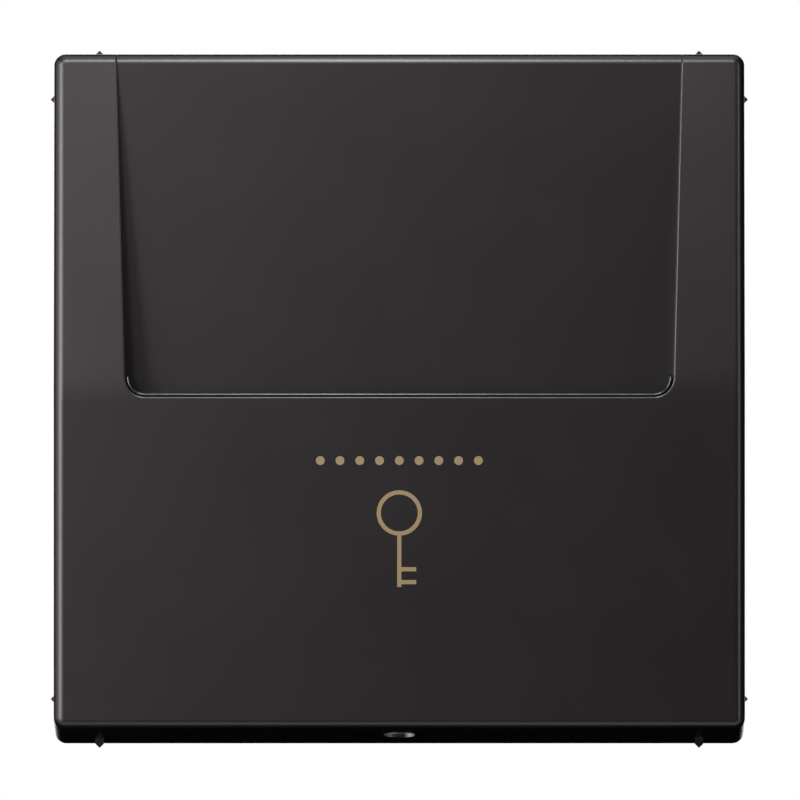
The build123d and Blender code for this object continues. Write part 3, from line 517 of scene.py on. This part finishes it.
def collarPath(look):
    # the collar's line: a frame of edges with two round corners and no top
    height = look["round"] * look["sides"]
    middle = (0, look["front"], look["low"] + height / 2)
    bpy.ops.object.select_all(action="DESELECT")
    bpy.ops.mesh.primitive_plane_add(size=1, location=middle, rotation=(math.pi / 2, 0, 0))
    path = bpy.context.object
    path.scale = (2 * look["half"], height, 1)
    bpy.ops.object.transform_apply(location=True, rotation=True, scale=True)
    bpy.ops.object.mode_set(mode="EDIT")
    bpy.ops.mesh.delete(type="ONLY_FACE")
    selectPoints(path, lambda place: place.z < look["low"] + look["near"])
    bpy.ops.mesh.bevel(affect="VERTICES", offset=look["round"], segments=look["roundSteps"])
    selectPoints(path, lambda place: place.z > look["low"] + height - look["near"])
    bpy.ops.mesh.delete(type="EDGE")
    bpy.ops.object.mode_set(mode="OBJECT")
    return path


def makeCollar(look):
    wall = collarPath(look)
    bpy.ops.object.mode_set(mode="EDIT")
    bpy.ops.mesh.select_all(action="SELECT")
    depth = look["back"] - look["front"]
    bpy.ops.mesh.extrude_edges_move(TRANSFORM_OT_translate={"value": (0, depth, 0)})
    bpy.ops.object.mode_set(mode="OBJECT")
    sides = wall.modifiers.new("sides", "SOLIDIFY")
    sides.thickness = look["wall"]
    sides.offset = 0
    bpy.ops.object.modifier_apply(modifier=sides.name)
    bead = collarPath(look)  # round front edge
    bpy.ops.object.convert(target="CURVE")
    bead.data.bevel_depth = look["thickness"] / 2
    bead.data.bevel_resolution = look["beadSteps"]
    bead.data.use_fill_caps = True
    bpy.ops.object.convert(target="MESH")
    wall.select_set(True)
    bpy.context.view_layer.objects.active = wall
    bpy.ops.object.join()
    wall.name = "guideCollar"
    bpy.ops.object.mode_set(mode="EDIT")
    bpy.ops.mesh.select_all(action="SELECT")
    bpy.ops.mesh.normals_make_consistent(inside=False)
    bpy.ops.object.mode_set(mode="OBJECT")
    bpy.ops.object.shade_smooth_by_angle(angle=look["smooth"])
    wall.data.materials.clear()
    wall.data.materials.append(collarMaterial(look))
    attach(wall, "insert")
    print("collar made:", len(wall.data.polygons), "faces")


makeCollar(collarLook)


# Gold marks printed on the lower panel: a row of dots, and a plain key below it
markLook = {
    "colour": (0.425, 0.311, 0.174, 1),
    "stain": (0.34, 0.247, 0.135, 1),
    "roughness": (0.4, 0.5),
    "metallic": 0.35,
    "speck": 0.18 * mm,
    "speckDetail": 3,
    "speckHeight": 0.001 * mm,
    "line": 0.43 * mm,
    "thickness": 0.02 * mm,
    "sink": 0.01 * mm,  # how far the print goes into the lacquer
    "panelFront": -14 * mm,
    "roundSides": 48,
    "ringSize": 4.6 * mm,
    "ringMiddle": -11.5 * mm,
    "shaftHeight": 5.2 * mm,
    "toothWidth": 1.5 * mm,
    "toothMiddles": (-17.2 * mm, -18.5 * mm),
    "dots": 9,
    "dotSize": 0.9 * mm,
    "dotStep": 2.0 * mm,
    "dotMiddle": -6.2 * mm,
}


def goldMaterial(look):
    material, shader = newMaterial("goldPrint")
    setInputs(shader, Metallic=look["metallic"])
    place = objectPlace(material)
    specks = noise(material, place, look["speck"], look["speckDetail"])
    colour = blendColours(material, spread(material, specks, 0, 1), look["colour"], look["stain"])
    join(material, colour, shader.inputs["Base Color"])
    join(material, spread(material, specks, *look["roughness"]), shader.inputs["Roughness"])
    addBump(material, shader, specks, look["speckHeight"])
    return material


def bar(look, width, height, across, middle):
    # a face looking forwards
    place = (across, look["panelFront"] - look["thickness"], middle)
    bpy.ops.object.select_all(action="DESELECT")
    bpy.ops.mesh.primitive_plane_add(size=1, location=place, rotation=(math.pi / 2, 0, 0))
    shape = bpy.context.object
    shape.scale = (width, height, 1)
    bpy.ops.object.transform_apply(location=True, rotation=True, scale=True)
    return shape


def disc(look, size, across, middle):
    place = (across, look["panelFront"] - look["thickness"], middle)
    bpy.ops.object.select_all(action="DESELECT")
    bpy.ops.mesh.primitive_circle_add(
        vertices=look["roundSides"],
        radius=size / 2,
        fill_type="NGON",
        location=place,
        rotation=(math.pi / 2, 0, 0),
    )
    bpy.ops.object.transform_apply(location=True, rotation=True, scale=True)
    return bpy.context.object


def ring(look):
    shape = disc(look, look["ringSize"], 0, look["ringMiddle"])
    bpy.ops.object.mode_set(mode="EDIT")
    bpy.ops.mesh.select_all(action="SELECT")
    bpy.ops.mesh.inset(thickness=look["line"], use_even_offset=True)
    bpy.ops.mesh.delete(type="FACE")
    bpy.ops.object.mode_set(mode="OBJECT")
    return shape


def keyShaft(look):
    top = look["ringMiddle"] - look["ringSize"] / 2
    return bar(look, look["line"], look["shaftHeight"], 0, top - look["shaftHeight"] / 2)


def tooth(look, middle):
    across = (look["line"] + look["toothWidth"]) / 2
    return bar(look, look["toothWidth"], look["line"], across, middle)


def dotRow(look):
    # the first dot is at the left, and the rest are copies of it
    start = -look["dotStep"] * (look["dots"] - 1) / 2
    row = disc(look, look["dotSize"], start, look["dotMiddle"])
    copies = row.modifiers.new("copies", "ARRAY")
    copies.count = look["dots"]
    copies.use_relative_offset = False
    copies.use_constant_offset = True
    copies.constant_offset_displace = (look["dotStep"], 0, 0)
    bpy.ops.object.modifier_apply(modifier=copies.name)
    return row


def makeMarks(look):
    teeth = [tooth(look, middle) for middle in look["toothMiddles"]]
    shapes = [ring(look), keyShaft(look), *teeth, dotRow(look)]
    bpy.ops.object.select_all(action="DESELECT")
    for shape in shapes:
        shape.select_set(True)
    bpy.context.view_layer.objects.active = shapes[0]
    bpy.ops.object.join()
    marks = bpy.context.object
    marks.name = "panelMarks"
    body = marks.modifiers.new("body", "SOLIDIFY")
    body.thickness = look["thickness"] + look["sink"]
    body.offset = -1
    bpy.ops.object.modifier_apply(modifier=body.name)
    marks.data.materials.append(goldMaterial(look))
    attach(marks, "insert")
    print("gold marks made:", len(marks.data.polygons), "faces")


makeMarks(markLook)


# Stage, light and camera
stageLook = {
    "floorHeight": -90 * mm,
    "floorSize": 1.2,
    "floorColour": (0.8, 0.8, 0.8, 1),
    "floorRoughness": 0.9,
    "roomSize": 3.0,  # dark studio walls, which the camera looks through
    "lowCardHeight": -80 * mm,  # dark card below the object, for a black underside
    "lowCardSize": (0.6, 0.7),  # width and depth
    "lowCardFront": -300 * mm,
}
lampColour = (0.985, 1.0, 0.99)
# name: turn to the right and rise in degrees, distance, width and height in metres, radiance
lampLooks = {
    "leftBox": (-46, 8, 0.245, 0.148, 0.187, 3.3),
    "lowLeftBox": (-42, -14, 0.26, 0.12, 0.12, 2.5),
    "leftStrip": (-37, 14, 0.25, 0.04, 0.12, 7.6),
    "frontBox": (-17, 10, 0.45, 0.06, 0.06, 7.2),
    "farBox": (-8, 10, 0.7, 0.08, 0.08, 0.7),
    "topStrip": (-5, 44, 0.25, 0.12, 0.04, 12.7),
    "upperStrip": (-4, 52, 0.141, 0.019, 0.075, 8.6),
    "rightStrip": (49.5, 0, 0.4, 0.075, 0.4, 2.6),
    "sideFill": (-84, 5, 0.3, 0.18, 0.4, 0.8),
    "topFill": (0, 86, 0.3, 0.4, 0.18, 0.8),
    "lowStrip": (0, -55, 0.08, 0.3, 0.02, 0.95),
    "backBox": (180, 5, 0.7, 0.6, 0.6, 2.0),
}
cameraLook = {
    "lens": 1001.8,  # in millimetres, as the sensor is
    "sensor": 36,
    "distance": 2.267,
    "across": 0.07 * mm,
    "up": -0.07 * mm,
    "farthest": 10,
}


def makeStage(look):
    bpy.ops.mesh.primitive_plane_add(size=look["floorSize"], location=(0, 0, look["floorHeight"]))
    floor = bpy.context.object
    floor.name = "floor"
    material, shader = newMaterial("floorPaper")
    setInputs(shader, Base_Color=look["floorColour"], Roughness=look["floorRoughness"])
    floor.data.materials.append(material)
    card, shader = newMaterial("darkCard")
    setInputs(shader, Base_Color=grey(0.0), Roughness=1.0, Specular_IOR_Level=0.0)
    bpy.ops.mesh.primitive_cube_add(size=look["roomSize"])
    room = bpy.context.object
    room.name = "darkRoom"
    width, depth = look["lowCardSize"]
    middle = look["lowCardFront"] + depth / 2
    bpy.ops.mesh.primitive_plane_add(size=1, location=(0, middle, look["lowCardHeight"]))
    lowCard = bpy.context.object
    lowCard.name = "lowCard"
    lowCard.scale = (width, depth, 1)
    lowCard.visible_shadow = False
    for dark in (room, lowCard):
        dark.data.materials.append(card)
        dark.visible_camera = False


def makeWorld():
    # white where the camera, gloss and glass look past the stage
    world = bpy.data.worlds.new("studio")
    bpy.context.scene.world = world
    world.use_nodes = True
    tree = world.node_tree
    background = tree.nodes["Background"]
    background.inputs["Color"].default_value = (1, 1, 1, 1)
    path = tree.nodes.new("ShaderNodeLightPath")
    seen = path.outputs["Is Camera Ray"]
    for other in ("Is Glossy Ray", "Is Transmission Ray"):
        either = tree.nodes.new("ShaderNodeMath")
        either.operation = "MAXIMUM"
        tree.links.new(seen, either.inputs[0])
        tree.links.new(path.outputs[other], either.inputs[1])
        seen = either.outputs["Value"]
    tree.links.new(seen, background.inputs["Strength"])


def makeLamp(name, look):
    turn, rise, distance, width, height, radiance = look
    turn, rise = math.radians(turn), math.radians(rise)
    ahead = math.cos(rise)
    way = Vector((ahead * math.sin(turn), -ahead * math.cos(turn), math.sin(rise)))
    data = bpy.data.lights.new(name, "AREA")
    data.shape = "RECTANGLE"
    data.size, data.size_y = width, height
    data.color = lampColour
    data.energy = radiance * math.pi * width * height  # in watts
    lamp = bpy.data.objects.new(name, data)
    lamp.location = way * distance
    lamp.rotation_euler = way.to_track_quat("Z", "Y").to_euler()
    bpy.context.collection.objects.link(lamp)


def makeCamera(look):
    data = bpy.data.cameras.new("camera")
    data.lens = look["lens"]
    data.sensor_width = look["sensor"]
    data.clip_end = look["farthest"]
    camera = bpy.data.objects.new("camera", data)
    camera.location = (look["across"], -look["distance"], look["up"])
    camera.rotation_euler = (math.pi / 2, 0, 0)
    bpy.context.collection.objects.link(camera)
    bpy.context.scene.camera = camera


makeStage(stageLook)
makeWorld()
for name, look in lampLooks.items():
    makeLamp(name, look)
makeCamera(cameraLook)
bpy.context.scene.view_settings.view_transform = "Standard"
print("stage, lamps and camera made")
